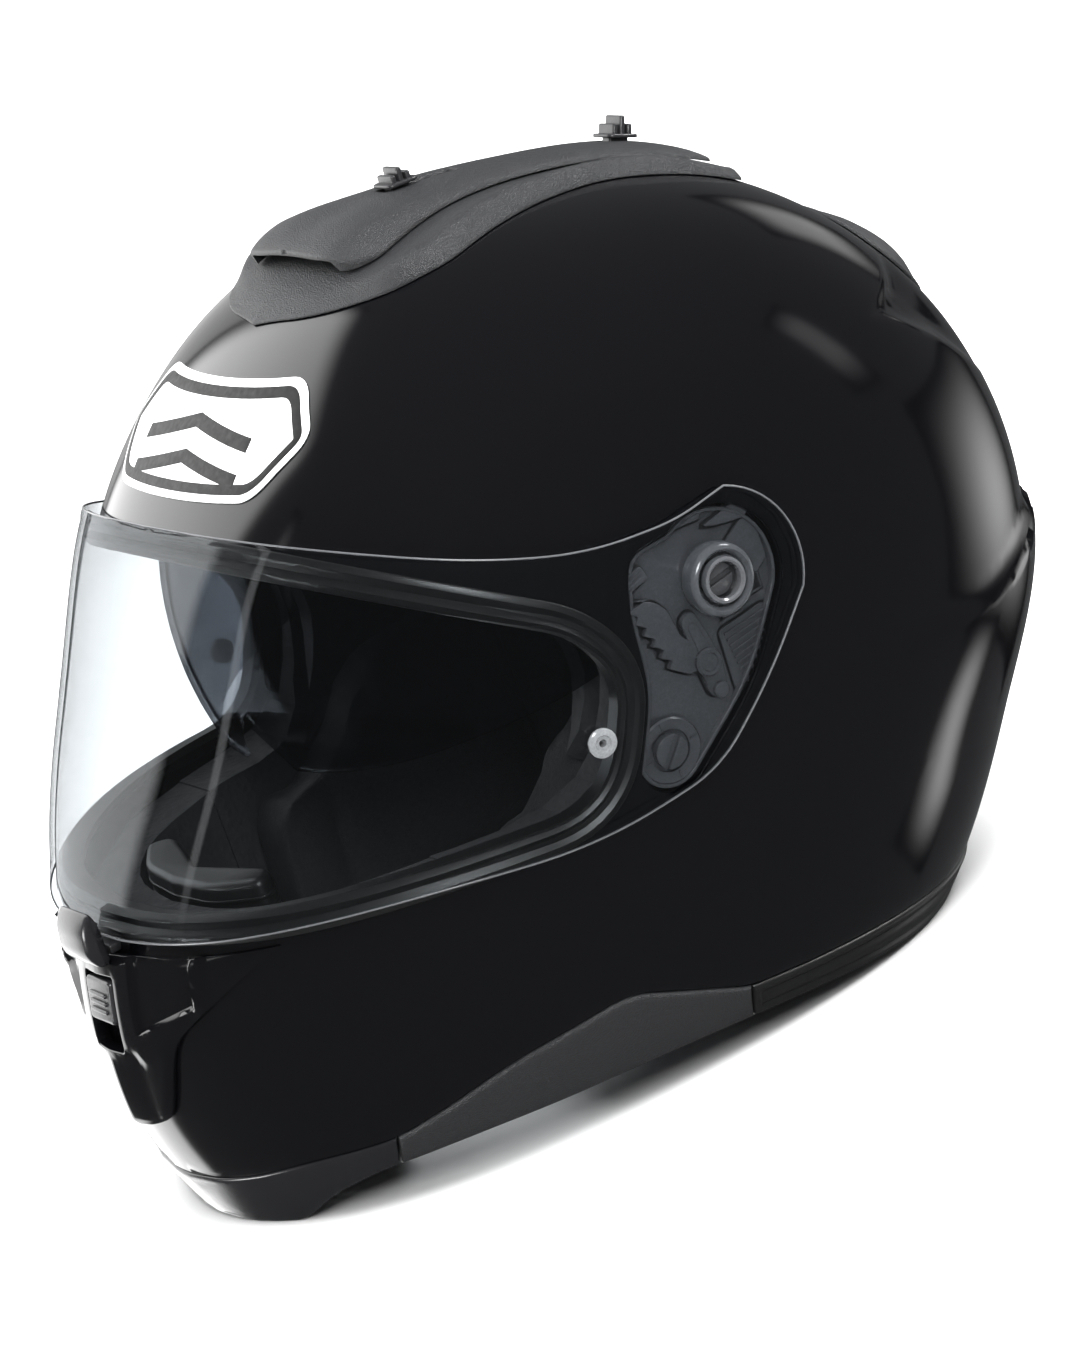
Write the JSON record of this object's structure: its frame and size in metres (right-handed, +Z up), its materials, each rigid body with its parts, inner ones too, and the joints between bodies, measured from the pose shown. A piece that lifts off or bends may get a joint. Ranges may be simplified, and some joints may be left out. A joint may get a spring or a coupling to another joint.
{
  "type": "motorcycle helmet",
  "caption": "Full-face motorcycle helmet with clear lifting visor, drop-down sun visor, crown, chin and rear vents, padded lining and chin strap",
  "frame": {"origin": "centre of the helmet's bounding box in plan, on the surface its rim rests on", "axes": "+Z up from the rim, the wearer looks along -Y, the wearer's left is +X"},
  "size_m": [0.26, 0.3461, 0.2781],
  "materials": {
    "shell_gloss": "high gloss black lacquer",
    "grained_black": "fine moulded grain",
    "satin_black": "satin moulded",
    "rubber": "matt moulded rubber",
    "clear_visor": "clear hard-coated polycarbonate",
    "smoke_visor": "smoke-tinted polycarbonate",
    "mechanism_plastic": "satin grey moulded",
    "energy_foam": "beaded expanded polystyrene, black",
    "lining_fabric": "brushed knit over foam",
    "webbing": "woven polyester webbing",
    "steel": "plated steel",
    "buckle_red": "semi-gloss moulded",
    "emblem_white": "gloss printed badge"
  },
  "bodies": {
    "helmet": {"outer_shell": "shell_gloss", "chin_vent_cover": "shell_gloss", "side_skirt_left": "grained_black", "side_skirt_right": "grained_black", "crown_vent_base": "grained_black", "crown_vent_cover": "grained_black", "rear_vent_cover": "grained_black", "buckle_body": "grained_black", "front_rim_trim": "satin_black", "visor_lock_post": "satin_black", "sun_visor_pin_left": "satin_black", "sun_visor_pin_right": "satin_black", "rear_rim_trim": "rubber", "eyeport_gasket": "rubber", "breath_guard": "rubber", "base_plate_left": "mechanism_plastic", "base_plate_right": "mechanism_plastic", "detent_rack_left": "mechanism_plastic", "detent_rack_right": "mechanism_plastic", "visor_hub_left": "mechanism_plastic", "visor_hub_right": "mechanism_plastic", "lower_screw_left": "mechanism_plastic", "lower_screw_right": "mechanism_plastic", "eps_liner": "energy_foam", "chin_eps": "energy_foam", "crown_liner": "lining_fabric", "cheek_pad_left": "lining_fabric", "cheek_pad_right": "lining_fabric", "neck_roll": "lining_fabric", "chin_curtain": "lining_fabric", "strap_pad_left": "lining_fabric", "strap_pad_right": "lining_fabric", "strap_left": "webbing", "strap_right": "webbing", "strap_anchor_left": "steel", "strap_anchor_right": "steel", "buckle_tongue": "steel", "forehead_emblem": "emblem_white"},
    "visor": {"visor": "clear_visor", "insert_pin_left": "clear_visor", "insert_pin_right": "clear_visor"},
    "lock_tab": {"visor_lock_tab": "satin_black"},
    "sun_visor": {"sun_visor": "smoke_visor"},
    "sun_visor_slider": {"sun_visor_slider": "satin_black"},
    "crown_vent_slider": {"crown_vent_slider": "satin_black"},
    "chin_vent_slider": {"chin_vent_slider": "satin_black"},
    "release_lever_left": {"release_lever_left": "mechanism_plastic"},
    "release_lever_right": {"release_lever_right": "mechanism_plastic"},
    "buckle_lever": {"buckle_lever": "buckle_red"}
  },
  "joints": [
    {"name": "visor_hinge", "type": "hinge", "parent": "helmet", "child": "visor", "pos_m": [0, 0.0121, 0.152], "axis": [-1, 0, 0], "range_deg": [0, 50]},
    {"name": "lock_tab_tilt", "type": "hinge", "parent": "visor", "child": "lock_tab", "pos_m": [0, -0.1674, 0.107], "axis": [-1, 0, 0], "range_deg": [0, 9], "stiffness_Nm_per_rad": 0.4},
    {"name": "sun_visor_hinge", "type": "hinge", "parent": "helmet", "child": "sun_visor", "pos_m": [0, 0.0121, 0.152], "axis": [-1, 0, 0], "range_deg": [0, 39]},
    {"name": "sun_visor_slide", "type": "slide", "parent": "helmet", "child": "sun_visor_slider", "axis": [0, 0.9959, -0.0906], "range_m": [0, 0.014]},
    {"name": "crown_vent_slide", "type": "slide", "parent": "helmet", "child": "crown_vent_slider", "axis": [0, 0.9219, -0.3875], "range_m": [0, 0.012]},
    {"name": "chin_vent_slide", "type": "slide", "parent": "helmet", "child": "chin_vent_slider", "axis": [0, -0.1994, -0.9799], "range_m": [0, 0.007]},
    {"name": "release_lever_left_hinge", "type": "hinge", "parent": "helmet", "child": "release_lever_left", "pos_m": [0.121, -0.0009, 0.1445], "axis": [1, 0, 0], "range_deg": [0, 6], "stiffness_Nm_per_rad": 0.1},
    {"name": "release_lever_right_hinge", "type": "hinge", "parent": "helmet", "child": "release_lever_right", "pos_m": [-0.121, -0.0009, 0.1445], "axis": [1, 0, 0], "range_deg": [0, 6], "stiffness_Nm_per_rad": 0.1},
    {"name": "buckle_lever_hinge", "type": "hinge", "parent": "helmet", "child": "buckle_lever", "pos_m": [0.026, 0.0021, 0.0152], "axis": [0, 1, 0], "range_deg": [0, 35], "stiffness_Nm_per_rad": 0.1}
  ],
  "couplings": [
    {"joint": "sun_visor_slide", "follows": "sun_visor_hinge", "m_per_rad": 0.0205}
  ]
}
